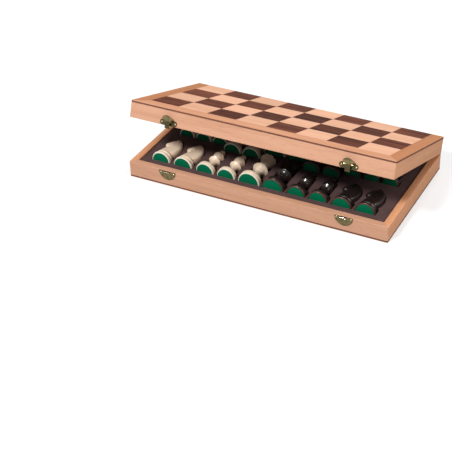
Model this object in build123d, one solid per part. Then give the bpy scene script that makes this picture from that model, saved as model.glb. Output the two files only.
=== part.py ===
"""Folding chess box: two shallow trays hinged into a board, with a fitted insert and 32 chessmen.

Millimetres. +Z up, +X along the box, -Y the latch side; the origin is the centre of the underside.
Each half is built as a tray with its rim up. The lid is a mirrored tray, swung part open.
"""

import math
import os

from build123d import *

# Board pattern
SQUARE = 45.0
FILES = 8
HALF_RANKS = 4
SIDE_BORDER = 18.0
FRONT_BORDER = 24.0
VENEER = 0.5
VENEER_JOINT = 0.05

# Trays
CORE = 2.2
RAIL_THICK = 10.0
CORNER_ROUND = 1.5
RIM_ROUND = 0.5
FOLD_GAP = 0.2
LID_OPEN = 19.2
LINING = 0.8
FIT_GAP = 0.3

# Chessmen drawn for a 45 mm square: foot radius and height
MAN_SCALE = SQUARE / 45.0
FELT = 0.8
FELT_INSET = 1.8
MEN = {
    "king": (16.5, 84.0),
    "queen": (16.5, 72.0),
    "bishop": (14.0, 59.0),
    "knight": (14.5, 58.5),
    "rook": (14.0, 46.0),
    "pawn": (12.5, 41.5),
}

# Insert
INSERT_FLOOR = 1.5
INSERT_DROP = 3.0
POCKET_CLEAR = 0.8
REST_GAP = 0.3

LENGTH = FILES * SQUARE + 2 * SIDE_BORDER
WIDTH = HALF_RANKS * SQUARE + FRONT_BORDER
FLOOR = VENEER + CORE
INSERT_TOP = FLOOR + INSERT_FLOOR + POCKET_CLEAR + MEN["king"][0] * MAN_SCALE
MAN_AXIS_Z = INSERT_TOP - (POCKET_CLEAR - REST_GAP)
HALF = INSERT_TOP + INSERT_DROP

# Butt hinges
HINGE_X = 110.0
HINGE_LENGTH = 36.0
HINGE_SEGMENTS = 5
LEAF = 0.9
LEAF_REACH = 8.5
KNUCKLE_R = 1.9
KNUCKLE_GAP = 0.2
PIN_R = 0.8
PIN_HEAD = 0.5
BARREL_CLEAR = 0.4
RUNNING = 0.05
SCREW_R = 1.1
SCREW_HEAD_R = 2.1
SCREW_LENGTH = 8.0
SCREW_SPREAD = 11.0
SCREW_SLOT = 0.5

PIN_Y = WIDTH / 2 + FOLD_GAP / 2
PIN_Z = HALF + FOLD_GAP / 2

# Latches, seen from the front: across, height from the rim, and stand-off from the wood
LATCH_X = 3 * SQUARE
SHEET = 0.6
CATCH_WIDTH = 27.0
CATCH_DROP = 14.0
TAB_WIDTH = CATCH_WIDTH / 3
TAB_OFF = 3.2
TAB_HEIGHT = 1.3
NAIL_X = CATCH_WIDTH / 2 - 2.9
NAIL_DROP = 2.7
NAIL_R = 0.55
NAIL_HEAD_R = 1.4
NAIL_HEAD = 0.8
NAIL_LENGTH = 7.0
PLATE_HEIGHT = 8.4
PIVOT_RISE = 6.5
PIVOT_OFF = 2.4
BARREL_R = 1.6
BARREL_HALF = 0.16 * CATCH_WIDTH
LUG_WIDTH = 0.055 * CATCH_WIDTH
PIVOT_R = 0.6
LEVER_SHEET = 0.7
LEVER_RISE = 16.6
LIP_FLARE = 4.4
LIP_WIDTH = 0.6 * CATCH_WIDTH
HOOK_WIDTH = 0.26 * CATCH_WIDTH
HOOK_GAP = 0.3
HOOK_DROP = FOLD_GAP + FIT_GAP + TAB_HEIGHT + HOOK_GAP + LEVER_SHEET

# Stored men for a 45 mm square: kind, distances of the white and of the dark men from the
# centre line, distance of the felt from the hinge face
FRONT_ROW = 180.0
LAYOUT = [
    ("queen", (19.0,), (18.0,), FRONT_ROW),
    ("bishop", (55.0, 88.6), (53.5, 86.0), FRONT_ROW),
    ("knight", (124.4, 160.0), (120.5, 155.0), FRONT_ROW),
    ("king", (18.2,), (18.2,), 98.5),
    ("rook", (48.2, 78.6), (46.6, 77.0), 115.0),
    ("pawn", (105.0, 132.5, 160.0), (105.0, 132.5, 160.0), 102.5),
    ("pawn", (48.5, 77.0, 105.0, 132.5, 160.0), (48.5, 77.0, 105.0, 132.5, 160.0), 55.5),
]


def prism(points, bottom, top):
    """Upright prism on a plan polygon."""
    outline = make_face(Polyline(*[(x, y, 0) for x, y in points], close=True))
    return Pos(0, 0, bottom) * extrude(outline, top - bottom, dir=(0, 0, 1))


def slab(width, depth, bottom, top, corner=0.0):
    """Centred block between two heights, with upright edges rounded."""
    block = Pos(0, 0, (bottom + top) / 2) * Box(width, depth, top - bottom)
    if corner:
        block = fillet(block.edges().filter_by(Axis.Z), corner)
    return block


def plan_ring(inset_x, inset_front, inset_back):
    """Four plan corners, from front left counter-clockwise, inset from the outline."""
    x, y = LENGTH / 2, WIDTH / 2
    return [
        (-x + inset_x, -y + inset_front),
        (x - inset_x, -y + inset_front),
        (x - inset_x, y - inset_back),
        (-x + inset_x, y - inset_back),
    ]


def footprint(bottom, top):
    """Rounded plan outline of a tray between two heights."""
    return slab(LENGTH, WIDTH, bottom, top, CORNER_ROUND)


# Trays


def rails():
    """Mitred rails by name, rims rounded over."""
    outer = plan_ring(0, 0, 0)
    inner = plan_ring(RAIL_THICK, RAIL_THICK, RAIL_THICK)
    names = ("front", "right", "back", "left")
    made = {}
    for i, name in enumerate(names):
        j = (i + 1) % 4
        bar = prism([outer[i], outer[j], inner[j], inner[i]], FLOOR, HALF)
        along = Axis.X if name in ("front", "back") else Axis.Y
        rim = bar.edges().filter_by(along).group_by(Axis.Z)[-1]
        made[name] = fillet(rim, RIM_ROUND) & footprint(FLOOR, HALF)
    return made


def squares(parity):
    """Veneer squares of one colour; rank 1 is the front."""
    side = SQUARE - VENEER_JOINT
    made = []
    for column in range(1, FILES + 1):
        for rank in range(1, HALF_RANKS + 1):
            if (column + rank) % 2 == parity:
                x = -LENGTH / 2 + SIDE_BORDER + (column - 0.5) * SQUARE
                y = -WIDTH / 2 + FRONT_BORDER + (rank - 0.5) * SQUARE
                made.append(Pos(x, y, VENEER / 2) * Box(side, side, VENEER))
    return made


def border():
    """Mitred border strips on the front and the two sides."""
    outer = plan_ring(0, 0, 0)
    inner = plan_ring(SIDE_BORDER, FRONT_BORDER, 0)
    strips = []
    for i, j in ((0, 1), (1, 2), (3, 0)):
        strip = make_face(
            Polyline(*[(x, y, 0) for x, y in (outer[i], outer[j], inner[j], inner[i])], close=True)
        )
        strip = offset(strip, -VENEER_JOINT / 2, kind=Kind.INTERSECTION)
        strips.append(extrude(strip, VENEER, dir=(0, 0, 1)) & footprint(0, VENEER))
    return strips


def tray(dark_parity):
    """One wooden half, rim up."""
    parts = {f"rail_{name}": bar for name, bar in rails().items()}
    parts["panel"] = footprint(VENEER, FLOOR)
    parts["squares_light"] = squares(1 - dark_parity)
    parts["squares_dark"] = squares(dark_parity)
    parts["border"] = border()
    return parts


# Hinges, in the base's frame; the lid's are their mirror image


def along_pin(radius, length):
    """Cylinder on the hinge line, centred on its hinge."""
    return Pos(0, PIN_Y, PIN_Z) * Rot(0, 90, 0) * Cylinder(radius, length)


def hinge_segment(index):
    """Slice of space that one knuckle may fill."""
    pitch = HINGE_LENGTH / HINGE_SEGMENTS
    x = (index - (HINGE_SEGMENTS - 1) / 2) * pitch
    return Pos(x, PIN_Y, PIN_Z) * Box(pitch, 6 * KNUCKLE_R, 6 * KNUCKLE_R)


def screw_spots():
    """Head centres of one leaf's screws."""
    y = PIN_Y - (LEAF_REACH + KNUCKLE_R) / 2
    return [(x, y, HALF) for x in (-SCREW_SPREAD, SCREW_SPREAD)]


def screw_body(grow):
    """Countersunk screw, head face at the origin, pointing down."""
    cone = Pos(0, 0, -LEAF / 2) * Cone(SCREW_R + grow, SCREW_HEAD_R + grow, LEAF)
    shank = Pos(0, 0, -SCREW_LENGTH / 2) * Cylinder(SCREW_R + grow, SCREW_LENGTH)
    return cone + shank


def hinge_screw():
    slot = Box(3 * SCREW_HEAD_R, SCREW_SLOT, SCREW_SLOT)
    tip = Pos(0, 0, -SCREW_LENGTH - SCREW_R / 2) * Cone(0.2, SCREW_R, SCREW_R)
    return screw_body(0) + tip - slot


def hinge_leaf(own, other):
    """Leaf let into the rim, with its knuckles rolled round the pin."""
    y = PIN_Y - LEAF_REACH / 2
    leaf = Pos(0, y, HALF - LEAF / 2) * Box(HINGE_LENGTH, LEAF_REACH, LEAF)
    for index in other:
        room = hinge_segment(index) & along_pin(KNUCKLE_R + BARREL_CLEAR, HINGE_LENGTH)
        leaf -= room
    barrel = along_pin(KNUCKLE_R, HINGE_LENGTH)
    for index in own:
        pitch = HINGE_LENGTH / HINGE_SEGMENTS
        x = (index - (HINGE_SEGMENTS - 1) / 2) * pitch
        leaf += barrel & Pos(x, PIN_Y, PIN_Z) * Box(pitch - KNUCKLE_GAP, 9, 9)
    leaf -= along_pin(PIN_R + RUNNING, 2 * HINGE_LENGTH)
    for spot in screw_spots():
        leaf -= Pos(*spot) * screw_body(RUNNING)
    return leaf


def hinge_pin():
    """Pin with a peened head at each end."""
    pin = along_pin(PIN_R, HINGE_LENGTH + 2 * RUNNING)
    for side in (-1, 1):
        x = side * (HINGE_LENGTH / 2 + RUNNING + PIN_HEAD / 2)
        pin += Pos(x, 0, 0) * along_pin(KNUCKLE_R - 0.4, PIN_HEAD)
    return pin


def hinge_mortise():
    """Room in the back rail for a leaf, the barrel and the screws."""
    depth = LEAF_REACH + RUNNING
    leaf = Pos(0, PIN_Y - depth / 2, HALF) * Box(HINGE_LENGTH + 2 * RUNNING, depth, 2 * LEAF)
    barrel = along_pin(KNUCKLE_R + BARREL_CLEAR, HINGE_LENGTH + 4 * PIN_HEAD)
    room = leaf + barrel
    for spot in screw_spots():
        room += Pos(*spot) * screw_body(RUNNING)
        room += Pos(*spot) * Pos(0, 0, -SCREW_LENGTH) * Cylinder(SCREW_R + RUNNING, 4 * SCREW_R)
    return room


def at_hinges(shapes):
    """Copies of a shape, or of several, at both hinges."""
    several = shapes if isinstance(shapes, list) else [shapes]
    return [Pos(x, 0, 0) * shape for x in (-HINGE_X, HINGE_X) for shape in several]


# Latches: x across, y out from the wood, z up from the rim line


def front_plate(outline):
    """Sheet plate from an outline drawn across and up."""
    plate = extrude(Plane.XZ * outline, -SHEET)
    return plate


def nail():
    """Round-head nail driven along -Y, its head on the plate."""
    ball_r = (NAIL_HEAD_R**2 + NAIL_HEAD**2) / (2 * NAIL_HEAD)
    ball = Pos(0, 0, NAIL_HEAD - ball_r) * Sphere(ball_r)
    head = ball & Pos(0, 0, NAIL_HEAD) * Cylinder(NAIL_HEAD_R, 2 * NAIL_HEAD)
    shank = Pos(0, 0, -NAIL_LENGTH / 2) * Cylinder(NAIL_R, NAIL_LENGTH)
    point = Pos(0, 0, -NAIL_LENGTH - NAIL_R) * Cone(0.1, NAIL_R, 2 * NAIL_R)
    return Pos(0, SHEET, 0) * Rot(-90, 0, 0) * (head + shank + point)


def nail_hole():
    length = NAIL_LENGTH + 4 * NAIL_R
    return Pos(0, SHEET - length / 2, 0) * Rot(90, 0, 0) * Cylinder(NAIL_R + RUNNING, length)


def catch_spots():
    return [(x, 0, -NAIL_DROP) for x in (-NAIL_X, NAIL_X)]


def catch_plate():
    """Half-oval plate below the rim with the raised tab that the hook grips."""
    top = -FIT_GAP
    oval = Pos(0, top) * Ellipse(CATCH_WIDTH / 2, CATCH_DROP)
    oval &= Pos(0, top - CATCH_DROP / 2) * Rectangle(CATCH_WIDTH, CATCH_DROP)
    plate = front_plate(oval)
    tab = Pos(0, TAB_OFF / 2, top - TAB_HEIGHT / 2) * Box(TAB_WIDTH, TAB_OFF, TAB_HEIGHT)
    outer = tab.edges().filter_by(Axis.X).group_by(Axis.Y)[-1]
    plate += fillet(outer, TAB_HEIGHT / 3)
    for spot in catch_spots():
        plate -= Pos(*spot) * nail_hole()
    return plate


def latch_spots():
    return [(x, 0, FIT_GAP + PLATE_HEIGHT / 2) for x in (-NAIL_X, NAIL_X)]


def pivot(radius, length):
    return Pos(0, PIVOT_OFF, PIVOT_RISE) * Rot(0, 90, 0) * Cylinder(radius, length)


def latch_plate():
    """Two-eared plate with a lug each side of the lever's barrel."""
    ears = Pos(0, FIT_GAP + PLATE_HEIGHT / 2) * SlotOverall(CATCH_WIDTH, PLATE_HEIGHT)
    plate = front_plate(ears)
    for side in (-1, 1):
        x = side * (BARREL_HALF + KNUCKLE_GAP + LUG_WIDTH / 2)
        lug = Pos(x, 0, 0) * pivot(BARREL_R, LUG_WIDTH)
        foot = Pos(x, PIVOT_OFF / 2, PIVOT_RISE) * Box(LUG_WIDTH, PIVOT_OFF, 2 * BARREL_R)
        plate += lug + foot
    for spot in latch_spots():
        plate -= Pos(*spot) * nail_hole()
    return plate - pivot(PIVOT_R + RUNNING, CATCH_WIDTH)


def pivot_pin():
    reach = BARREL_HALF + KNUCKLE_GAP + LUG_WIDTH
    pin = pivot(PIVOT_R, 2 * (reach + RUNNING))
    for side in (-1, 1):
        pin += Pos(side * (reach + RUNNING + PIVOT_R / 2), 0, 0) * pivot(BARREL_R - 0.3, PIVOT_R)
    return pin


def on_arc(centre, radius, swing):
    """Point of a bill arc at its flared end."""
    turn = math.radians(180 - swing)
    return (centre[0] + radius * math.cos(turn), centre[1] + radius * math.sin(turn))


def lever():
    """Duck-bill lever: flared lip above the barrel, hook below it."""
    arm_back = TAB_OFF + HOOK_GAP
    rise = LEVER_RISE - PIVOT_RISE
    back_r = (rise**2 + LIP_FLARE**2) / (2 * LIP_FLARE)
    swing = math.degrees(math.asin(rise / back_r))
    centre = (arm_back + back_r, PIVOT_RISE)
    front_r = back_r - LEVER_SHEET
    bill_side = make_face(
        [
            CenterArc(centre, back_r, 180 - swing, swing),
            Line((centre[0] - back_r, PIVOT_RISE), (centre[0] - front_r, PIVOT_RISE)),
            CenterArc(centre, front_r, 180 - swing, swing),
            Line(on_arc(centre, back_r, swing), on_arc(centre, front_r, swing)),
        ]
    )
    bill = extrude(Plane.YZ * bill_side, LIP_WIDTH / 2, both=True)
    # Front view of the bill: narrow at the barrel, widening to a round-topped hood
    half, wide, low = BARREL_HALF, LIP_WIDTH / 2, PIVOT_RISE - 1
    neck = PIVOT_RISE + BARREL_R + 2 * KNUCKLE_GAP
    shoulder = PIVOT_RISE + 0.45 * rise
    bend = (0.6 * wide + 0.4 * half, 0.6 * neck + 0.4 * shoulder)
    outline = make_face(
        [
            Line((-half, low), (half, low)),
            Line((half, low), (half, neck)),
            ThreePointArc((half, neck), bend, (wide, shoulder)),
            ThreePointArc((wide, shoulder), (0, LEVER_RISE), (-wide, shoulder)),
            ThreePointArc((-wide, shoulder), (-bend[0], bend[1]), (-half, neck)),
            Line((-half, neck), (-half, low)),
        ]
    )
    bill &= extrude(Plane.XZ * outline, -4 * LIP_FLARE)
    foot = -HOOK_DROP
    arm_mid = arm_back + LEVER_SHEET / 2
    arm = Pos(0, arm_mid, (PIVOT_RISE + foot) / 2) * Box(HOOK_WIDTH, LEVER_SHEET, PIVOT_RISE - foot)
    tip = SHEET + HOOK_GAP
    lip_mid = (tip + arm_back + LEVER_SHEET) / 2
    lip_run = arm_back + LEVER_SHEET - tip
    hook = Pos(0, lip_mid, foot + LEVER_SHEET / 2) * Box(HOOK_WIDTH, lip_run, LEVER_SHEET)
    body = pivot(BARREL_R, 2 * BARREL_HALF) + arm + hook + bill
    return body - pivot(PIVOT_R + RUNNING, CATCH_WIDTH)


def on_front(shape, side, rim):
    """From latch coordinates to the box front."""
    return Pos(side * LATCH_X, -WIDTH / 2, rim) * mirror(shape, Plane.XZ)


# Chessmen, standing on z = 0


def turned(*stations):
    """Turned body; each station is radius, height and the outward bow of the curve to it."""
    edges, last = [], stations[0]
    for station in stations[1:]:
        start, end = last[:2], station[:2]
        bow = station[2] if len(station) > 2 else 0
        edges.append(SagittaArc(start, end, -bow) if bow else Line(start, end))
        last = station
    low, high = stations[0][1], last[1]
    edges.append(Line(last[:2], (0, high)))
    edges.append(Line((0, high), (0, low)))
    edges.append(Line((0, low), stations[0][:2]))
    return revolve(Plane.XZ * make_face(edges), Axis.Z, 360)


def foot(kind):
    """Stations of the round foot, up to the small ring above its swell."""
    radius = MEN[kind][0]
    k = radius / MEN["king"][0]
    return [
        (radius - 1.2, FELT),
        (radius, FELT + 1.2, 0.35),
        (radius, FELT + 3.4 * k),
        (radius - 0.6, FELT + 3.9 * k),
        (0.62 * radius, FELT + 12.4 * k, 3.0 * k),
        (0.66 * radius, FELT + 12.9 * k),
        (0.60 * radius, FELT + 14.4 * k),
    ]


def king():
    """King: cup head under a dome, with a flared cross."""
    top = MEN["king"][1]
    body = turned(
        *foot("king"),
        (5.2, 34.0, -1.5), (6.4, 36.6, -0.3), (11.9, 39.8, -0.5), (11.9, 41.4, 0.5),
        (8.8, 44.8, -0.6), (9.3, 45.3), (9.3, 46.9), (8.7, 47.4), (11.4, 62.2, -0.6),
        (11.9, 62.8), (11.9, 64.6, 0.3), (10.4, 65.6), (3.4, 70.8, 1.4), (2.6, 72.0),
    )
    middle, low = top - 6.2, 71.4
    upright = Polyline((-2.6, low), (2.6, low), (1.9, middle), (3.0, top), (-3.0, top),
                       (-1.9, middle), close=True)
    arms = Polyline((-5.8, middle - 2.8), (0, middle - 1.8), (5.8, middle - 2.8),
                    (5.8, middle + 2.8), (0, middle + 1.8), (-5.8, middle + 2.8), close=True)
    for outline in (upright, arms):
        body += extrude(Plane.XZ * make_face(outline), 2.4, both=True)
    return body


def queen():
    """Queen: flared coronet with scallops and a button."""
    body = turned(
        *foot("queen"),
        (5.0, 32.6, -1.4), (6.2, 34.8, -0.3), (11.6, 37.4, -0.5), (11.6, 38.9, 0.5),
        (7.6, 41.8, -0.6), (8.0, 42.3), (8.0, 43.6), (7.4, 44.1), (12.0, 62.4, -1.7),
        (12.0, 65.2), (10.7, 65.8), (9.5, 64.6), (2.4, 66.6, 0.6), (2.0, 67.6),
    )
    body += Pos(0, 0, MEN["queen"][1] - 2.9) * Sphere(2.9)
    notch = Pos(12.6, 0, 66.2) * Rot(0, 90, 0) * Cylinder(1.5, 5)
    for i in range(9):
        body -= Rot(0, 0, i * 40) * notch
    return body


def bishop():
    """Bishop: mitre with its slit and a ball on top."""
    body = turned(
        *foot("bishop"),
        (4.2, 27.0, -1.2), (5.0, 28.6, -0.2), (8.8, 30.4, -0.3), (8.8, 31.8, 0.4),
        (5.0, 34.4, -0.4), (5.4, 34.9), (5.0, 36.2), (7.6, 42.6, 0.8), (2.0, 53.4, 1.3),
        (1.6, 54.4),
    )
    body += Pos(0, 0, MEN["bishop"][1] - 3.0) * Sphere(3.0)
    return body - Pos(6.2, 0, 46.6) * Rot(0, -35, 0) * Box(1.2, 20, 10)


def rook():
    """Rook: plain round tower, hollow at the top."""
    top = MEN["rook"][1]
    body = turned(
        *foot("rook"),
        (6.6, 24.0, -0.8), (7.2, 27.4, -0.2), (10.6, 29.8, -0.3), (11.0, 30.6),
        (11.0, top - 0.6, -0.4), (10.4, top), (8.6, top),
    )
    return body - Pos(0, 0, top) * Cone(6.4, 8.6, 6.0)


def pawn():
    """Pawn: ball head on a collar."""
    head_r = 7.4
    body = turned(
        *foot("pawn"),
        (4.6, 19.6, -0.5), (7.0, 21.0, -0.2), (7.0, 22.4, 0.4), (4.6, 24.6, -0.4),
        (4.4, 29.0),
    )
    return body + Pos(0, 0, MEN["pawn"][1] - head_r) * Sphere(head_r)


def knight_side():
    """Side view of the horse's head, muzzle towards -X."""
    top = MEN["knight"][1]
    return make_face([
        Line((-9.4, 12.6), (9.8, 12.6)),
        ThreePointArc((9.8, 12.6), (14.9, 29.0), (12.0, 43.0)),
        ThreePointArc((12.0, 43.0), (7.4, 51.6), (-0.8, top)),
        ThreePointArc((-0.8, top), (-3.0, 56.8), (-4.2, 53.6)),
        ThreePointArc((-4.2, 53.6), (-8.6, 50.4), (-12.0, 44.8)),
        ThreePointArc((-12.0, 44.8), (-14.0, 40.2), (-12.2, 36.6)),
        ThreePointArc((-12.2, 36.6), (-9.4, 35.2), (-7.0, 36.8)),
        ThreePointArc((-7.0, 36.8), (-5.2, 32.8), (-7.4, 28.6)),
        ThreePointArc((-7.4, 28.6), (-10.6, 21.0), (-9.4, 12.6)),
    ])


def knight():
    """Knight: carved horse's head on a turned foot."""
    radius, top = MEN["knight"]
    stand = turned(
        (radius - 1.2, FELT), (radius, FELT + 1.2, 0.35), (radius, FELT + 3.4),
        (radius - 1.6, FELT + 4.6, 0.3), (radius - 2.4, 7.4, -0.3), (radius - 1.6, 8.2),
        (radius - 2.0, 11.8, 0.5), (radius - 3.6, 13.4, 0.3),
    )
    front = make_face([
        Line((-8.6, 12.6), (8.6, 12.6)),
        ThreePointArc((8.6, 12.6), (7.6, 30.0), (6.4, 42.0)),
        ThreePointArc((6.4, 42.0), (5.6, 52.0), (3.0, top)),
        Line((3.0, top), (-3.0, top)),
        ThreePointArc((-3.0, top), (-5.6, 52.0), (-6.4, 42.0)),
        ThreePointArc((-6.4, 42.0), (-7.6, 30.0), (-8.6, 12.6)),
    ])
    body = extrude(Plane.XZ * knight_side(), radius, both=True)
    body &= extrude(Plane.YZ * front, 2 * radius, both=True)
    return stand + body


CARVED = {"king": king, "queen": queen, "bishop": bishop, "knight": knight, "rook": rook, "pawn": pawn}


def felt(kind):
    """Felt disc under a foot."""
    thick = FELT - 0.02
    return Pos(0, 0, thick / 2) * Cylinder(MEN[kind][0] - FELT_INSET, thick)


# Pockets

# Stepped half-round pockets: body radius and the height it reaches, above the foot
POCKET_STEPS = {
    "king": ((16.5, 13.8), (12.2, 71.5), (6.6, 84.0)),
    "queen": ((16.5, 13.8), (12.6, 72.0)),
    "bishop": ((14.0, 11.8), (9.4, 48.0), (6.4, 59.0)),
    "knight": ((14.5, 13.8),),
    "rook": ((14.0, 11.8), (11.2, 46.0)),
    "pawn": ((12.5, 10.6), (7.6, 41.5)),
}
KNIGHT_HALF_DEPTH = 8.8


def pocket(kind):
    """Room for one man lying down, its foot plane at y = 0."""
    outline, low = [(0, -POCKET_CLEAR)], -POCKET_CLEAR
    steps = [(MAN_SCALE * radius, MAN_SCALE * reach) for radius, reach in POCKET_STEPS[kind]]
    for radius, reach in steps:
        high = reach + POCKET_CLEAR
        outline += [(radius + POCKET_CLEAR, low), (radius + POCKET_CLEAR, high)]
        low = high
    outline.append((0, low))
    room = revolve(Plane.XZ * make_face(Polyline(*outline, close=True)), Axis.Z, 360)
    if kind == "knight":
        head = offset(scale(knight_side(), MAN_SCALE), POCKET_CLEAR)
        deep = MAN_SCALE * KNIGHT_HALF_DEPTH + POCKET_CLEAR
        room += extrude(Plane.XZ * head, deep, both=True)
    return Rot(-90, 0, 0) * room


def places():
    """Every stored man: name, kind, x and y of its felt."""
    found, count = [], {}
    for kind, white, dark, back in LAYOUT:
        for colour, side, spots in (("white", -1, white), ("dark", 1, dark)):
            for spot in spots:
                key = (colour, kind)
                count[key] = count.get(key, 0) + 1
                single = kind in ("king", "queen")
                name = f"{colour}_{kind}" if single else f"{colour}_{kind}_{count[key]}"
                found.append((name, kind, side * spot * MAN_SCALE, WIDTH / 2 - back * MAN_SCALE))
    return found


def insert_tray():
    """Insert between the rails, with a pocket for every man."""
    gap = 2 * (RAIL_THICK + FIT_GAP)
    block = slab(LENGTH - gap, WIDTH - gap, FLOOR, INSERT_TOP)
    shapes = {kind: pocket(kind) for kind in MEN}
    return block - [Pos(x, y, INSERT_TOP) * shapes[kind] for _, kind, x, y in places()]


def men():
    """Stored men by name, each with its felt."""
    shapes = {kind: Rot(-90, 0, 0) * scale(CARVED[kind](), MAN_SCALE) for kind in MEN}
    felts = {kind: Rot(-90, 0, 0) * scale(felt(kind), MAN_SCALE) for kind in MEN}
    return {
        name: [Pos(x, y, MAN_AXIS_Z) * shape[kind] for shape in (shapes, felts)]
        for name, kind, x, y in places()
    }


# Assembly


def base_parts():
    """Base half by node name."""
    parts = {f"base_{name}": shape for name, shape in tray(1).items()}
    room = at_hinges(hinge_mortise())
    parts["base_rail_back"] -= room
    spots = [on_front(Pos(*spot) * nail_hole(), side, HALF) for side in (-1, 1) for spot in catch_spots()]
    parts["base_rail_front"] -= spots
    parts["hinge_leaves_base"] = at_hinges(hinge_leaf((0, 2, 4), (1, 3)))
    screw = hinge_screw()
    parts["hinge_screws_base"] = at_hinges([Pos(*spot) * screw for spot in screw_spots()])
    parts["catch_plates"] = [on_front(catch_plate(), side, HALF) for side in (-1, 1)]
    parts["catch_nails"] = [
        on_front(Pos(*spot) * nail(), side, HALF) for side in (-1, 1) for spot in catch_spots()
    ]
    parts["insert_tray"] = insert_tray()
    return parts


def over(shape):
    """Mirror image in the plane between the rims."""
    return mirror(shape, Plane.XY.offset(PIN_Z))


def swung(shape):
    """Lid shape turned from closed to its stored, part-open place."""
    hinge = Axis((0, PIN_Y, PIN_Z), (-1, 0, 0))
    return shape.rotate(hinge, LID_OPEN)


def lid_parts():
    """Lid half and its levers by node name, in the closed place."""
    rim = HALF + FOLD_GAP
    parts = {f"lid_{name}": shape for name, shape in tray(0).items()}
    parts["lid_rail_back"] -= at_hinges(hinge_mortise())
    gap = 2 * (RAIL_THICK + FIT_GAP)
    parts["lid_lining"] = slab(LENGTH - gap, WIDTH - gap, FLOOR, FLOOR + LINING)
    parts["hinge_leaves_lid"] = at_hinges(hinge_leaf((1, 3), (0, 2, 4)))
    screw = hinge_screw()
    parts["hinge_screws_lid"] = at_hinges([Pos(*spot) * screw for spot in screw_spots()])
    for name, shape in parts.items():
        many = isinstance(shape, (list, tuple))
        parts[name] = [over(one) for one in shape] if many else over(shape)
    parts["hinge_leaves_lid"] += at_hinges(hinge_pin())
    sides = (-1, 1)
    parts["lid_rail_front"] -= [
        on_front(Pos(*spot) * nail_hole(), side, rim) for side in sides for spot in latch_spots()
    ]
    parts["latch_plates"] = [on_front(one, side, rim) for side in sides for one in (latch_plate(), pivot_pin())]
    parts["latch_nails"] = [
        on_front(Pos(*spot) * nail(), side, rim) for side in sides for spot in latch_spots()
    ]
    parts["latch_lever_left"] = on_front(lever(), -1, rim)
    parts["latch_lever_right"] = on_front(lever(), 1, rim)
    return parts


def flat(shapes):
    """All solids of a shape or of nested lists of shapes."""
    if isinstance(shapes, (list, tuple)):
        return [solid for shape in shapes for solid in flat(shape)]
    return list(shapes.solids())


def main():
    os.makedirs("parts", exist_ok=True)
    parts = base_parts()
    for name, shapes in lid_parts().items():
        parts[name] = [swung(solid) for solid in flat(shapes)]
    parts.update(men())
    for name, shapes in parts.items():
        export_step(Compound(children=flat(shapes)), f"parts/{name}.step")


main()
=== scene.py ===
"""Folding chess box dressed for rendering: beech, walnut, brass, flock and turned chessmen.

Metres, in the frame of the solids: +Z up, +X along the box, -Y the latch side.
"""

from __future__ import annotations

import logging
import math
from collections.abc import Iterable, Sequence
from dataclasses import dataclass, field
from enum import Enum

import bmesh
import bpy
from mathutils import Matrix, Vector


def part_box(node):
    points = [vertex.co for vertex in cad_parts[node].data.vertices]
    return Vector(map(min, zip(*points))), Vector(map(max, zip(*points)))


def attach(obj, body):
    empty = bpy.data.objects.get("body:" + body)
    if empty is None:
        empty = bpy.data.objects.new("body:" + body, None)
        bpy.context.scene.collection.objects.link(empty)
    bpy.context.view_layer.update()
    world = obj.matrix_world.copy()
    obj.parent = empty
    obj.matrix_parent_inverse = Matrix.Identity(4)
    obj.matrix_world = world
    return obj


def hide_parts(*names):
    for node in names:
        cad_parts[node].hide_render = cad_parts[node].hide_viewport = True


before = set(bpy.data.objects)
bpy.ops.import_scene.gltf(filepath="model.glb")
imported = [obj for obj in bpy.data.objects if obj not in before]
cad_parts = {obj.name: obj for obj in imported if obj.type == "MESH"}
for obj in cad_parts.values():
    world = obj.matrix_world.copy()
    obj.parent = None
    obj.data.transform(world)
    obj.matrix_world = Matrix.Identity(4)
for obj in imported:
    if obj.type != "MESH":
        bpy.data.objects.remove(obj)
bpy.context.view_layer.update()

log = logging.getLogger("chess_box")

MM = 0.001
SQUARE = 45.0 * MM
HALF_LENGTH = 198.0 * MM
HALF_WIDTH = 102.0 * MM
SIDE_BORDER = 18.0 * MM
FRONT_BORDER = 24.0 * MM
FIBRE_STRETCH = 0.06
ACROSS_SHIFT = (0.31, 0.17, 0.0)
SQUARE_JUMP = 3.0
Rgb = tuple[float, float, float]
Station = tuple[float, ...]


class Grain(Enum):
    """Direction that the wood's fibres run in."""

    ALONG_BOX = "along"
    ACROSS_BOX = "across"
    MITRED = "mitred"


class Half(Enum):
    """Which half of the box a piece belongs to; only the lid is tilted."""

    BASE = "base"
    LID = "lid"


@dataclass(frozen=True)
class Tilt:
    """Place of the lid's hinge line and how far the lid stands open."""

    y: float = 102.1 * MM
    z: float = 24.6 * MM
    degrees: float = 19.2

    def undo(self) -> tuple[Vector, Vector]:
        """Location and rotation that bring the open lid's points back to the shut lid."""
        angle = math.radians(self.degrees)
        centre = Vector((0.0, self.y, self.z))
        turn = Matrix.Rotation(angle, 3, "X")
        return centre - turn @ centre, Vector((angle, 0.0, 0.0))


# Shader graphs


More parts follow.
